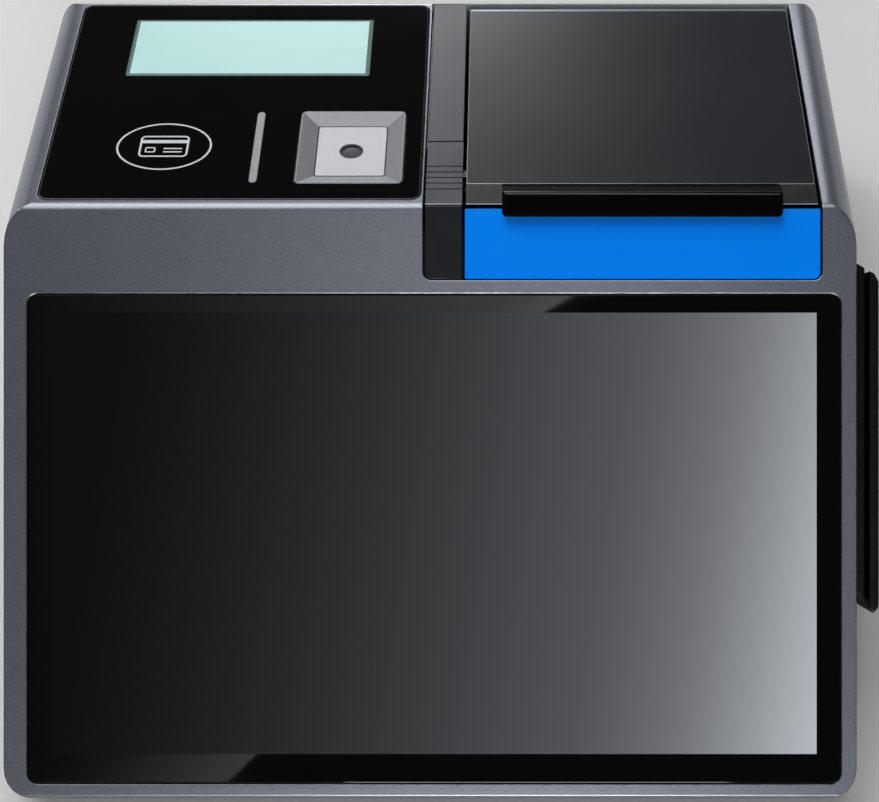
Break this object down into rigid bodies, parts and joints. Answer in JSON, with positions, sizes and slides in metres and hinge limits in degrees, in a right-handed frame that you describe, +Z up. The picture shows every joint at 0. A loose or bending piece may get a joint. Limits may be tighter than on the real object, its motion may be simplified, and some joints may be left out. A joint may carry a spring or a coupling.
{
  "type": "point of sale terminal",
  "caption": "Countertop point of sale terminal: sloping touch screen, customer display panel with code scanner, receipt printer under a hinged lid, and a side card reader.",
  "frame": {"origin": "centre of the bounding box in plan, at the underside of the feet", "axes": "+X to the operator's right, +Y away from the operator towards the rear ports, +Z up"},
  "size_m": [0.2956, 0.2862, 0.1239],
  "materials": {
    "shell_paint": "metallic blue-grey paint on ABS",
    "base_plastic": "fine-grained dark plastic",
    "foot_rubber": "matte rubber",
    "screw_steel": "bright steel",
    "screen_glass": "polished cover glass with a black printed border",
    "gasket_foam": "closed-cell foam",
    "display_module": "display module",
    "sheet_steel": "zinc-plated sheet",
    "panel_gloss": "high-gloss black acrylic",
    "display_mint": "pale mint lit display",
    "circuit_board": "green solder mask",
    "light_diffuser": "milky light guide",
    "bezel_silver": "silver-painted plastic",
    "plate_silver": "light silver satin",
    "black_plastic": "black moulded plastic",
    "lens_glass": "coated lens",
    "blue_plastic": "glossy blue plastic",
    "strip_grey": "dark grey satin plastic",
    "lid_gloss": "dark grey high-gloss plastic",
    "tear_black": "black high-gloss plastic",
    "gear_plastic": "natural acetal",
    "pinion_brass": "turned brass",
    "platen_rubber": "ground rubber",
    "head_aluminium": "extruded aluminium",
    "head_ceramic": "fired ceramic",
    "spring_steel": "spring wire",
    "socket_metal": "tinned steel shell",
    "button_silver": "silver plastic"
  },
  "bodies": {
    "housing": {"upper_shell": "shell_paint", "base_tray": "base_plastic", "rubber_feet": "foot_rubber", "case_screws": "screw_steel", "touch_glass": "screen_glass", "screen_gasket": "gasket_foam", "lcd_panel": "display_module", "lcd_bracket": "sheet_steel", "bracket_screws": "screw_steel", "customer_panel": "panel_gloss", "customer_display": "display_mint", "display_board": "circuit_board", "contactless_antenna": "circuit_board", "status_light": "light_diffuser", "light_board": "circuit_board", "scanner_bezel": "bezel_silver", "scanner_plate": "plate_silver", "scanner_engine": "black_plastic", "scanner_lens": "lens_glass", "front_carrier": "base_plastic", "front_cover": "blue_plastic", "strip_front": "strip_grey", "side_strip": "strip_grey", "paper_bucket": "base_plastic", "hinge_pins": "screw_steel", "mechanism_frame": "sheet_steel", "frame_screws": "screw_steel", "feed_motor": "sheet_steel", "head_shaft": "screw_steel", "head_springs": "spring_steel", "release_spring": "spring_steel", "latch_pin": "screw_steel", "main_board": "circuit_board", "board_screws": "screw_steel", "heat_sink": "head_aluminium", "dc_jack": "black_plastic", "lan_port": "socket_metal", "usb_ports": "socket_metal", "drawer_port": "black_plastic", "port_panel": "base_plastic", "speaker": "black_plastic", "power_switch": "circuit_board", "reader_housing": "black_plastic", "reader_rail": "black_plastic", "reader_screws": "screw_steel"},
    "lid": {"lid_cover": "lid_gloss", "lid_frame": "strip_grey", "tear_bar": "tear_black", "platen_bushes": "gear_plastic"},
    "platen": {"platen_shaft": "screw_steel", "platen_roller": "platen_rubber", "platen_gear": "gear_plastic"},
    "idler": {"idler_gear": "gear_plastic"},
    "motor_rotor": {"motor_pinion": "pinion_brass"},
    "print_head": {"print_head": "head_aluminium", "head_strip": "head_ceramic"},
    "release": {"release_button": "strip_grey"},
    "latch": {"latch_hook": "sheet_steel"},
    "reader_head": {"magnetic_head": "head_aluminium"},
    "power": {"power_button": "button_silver"}
  },
  "joints": [
    {"name": "lid_hinge", "type": "hinge", "parent": "housing", "child": "lid", "pos_m": [0.06663, 0.13587, 0.08823], "axis": [-1, 0, 0], "range_deg": [0, 90]},
    {"name": "platen_spin", "type": "hinge", "parent": "lid", "child": "platen", "pos_m": [0.06663, 0.04154, 0.10616], "axis": [1, 0, 0], "continuous": true},
    {"name": "idler_spin", "type": "hinge", "parent": "housing", "child": "idler", "pos_m": [0.013, 0.0379, 0.09156], "axis": [1, 0, 0], "continuous": true},
    {"name": "motor_spin", "type": "hinge", "parent": "housing", "child": "motor_rotor", "pos_m": [0.013, 0.02884, 0.08217], "axis": [1, 0, 0], "continuous": true},
    {"name": "head_pivot", "type": "hinge", "parent": "housing", "child": "print_head", "pos_m": [0.06663, 0.03937, 0.09393], "axis": [1, 0, 0], "range_deg": [0, 3], "stiffness_Nm_per_rad": 0.4, "deforming": ["head_springs"]},
    {"name": "release_press", "type": "slide", "parent": "housing", "child": "release", "axis": [0, -0.2419, -0.9703], "range_m": [0, 0.0025], "stiffness_N_per_m": 600, "deforming": ["release_spring"]},
    {"name": "latch_swing", "type": "hinge", "parent": "housing", "child": "latch", "pos_m": [0.0088, 0.04903, 0.09793], "axis": [-1, 0, 0], "range_deg": [0, 23.5]},
    {"name": "reader_head_float", "type": "slide", "parent": "housing", "child": "reader_head", "axis": [-1, 0, 0], "range_m": [0, 0.0008], "stiffness_N_per_m": 500},
    {"name": "power_press", "type": "slide", "parent": "housing", "child": "power", "axis": [1, 0, 0], "range_m": [0, 0.001], "stiffness_N_per_m": 800}
  ],
  "couplings": [
    {"joint": "idler_spin", "follows": "platen_spin", "ratio": -0.5},
    {"joint": "motor_spin", "follows": "platen_spin", "ratio": 1.6667},
    {"joint": "latch_swing", "follows": "release_press", "rad_per_m": 160.5}
  ]
}
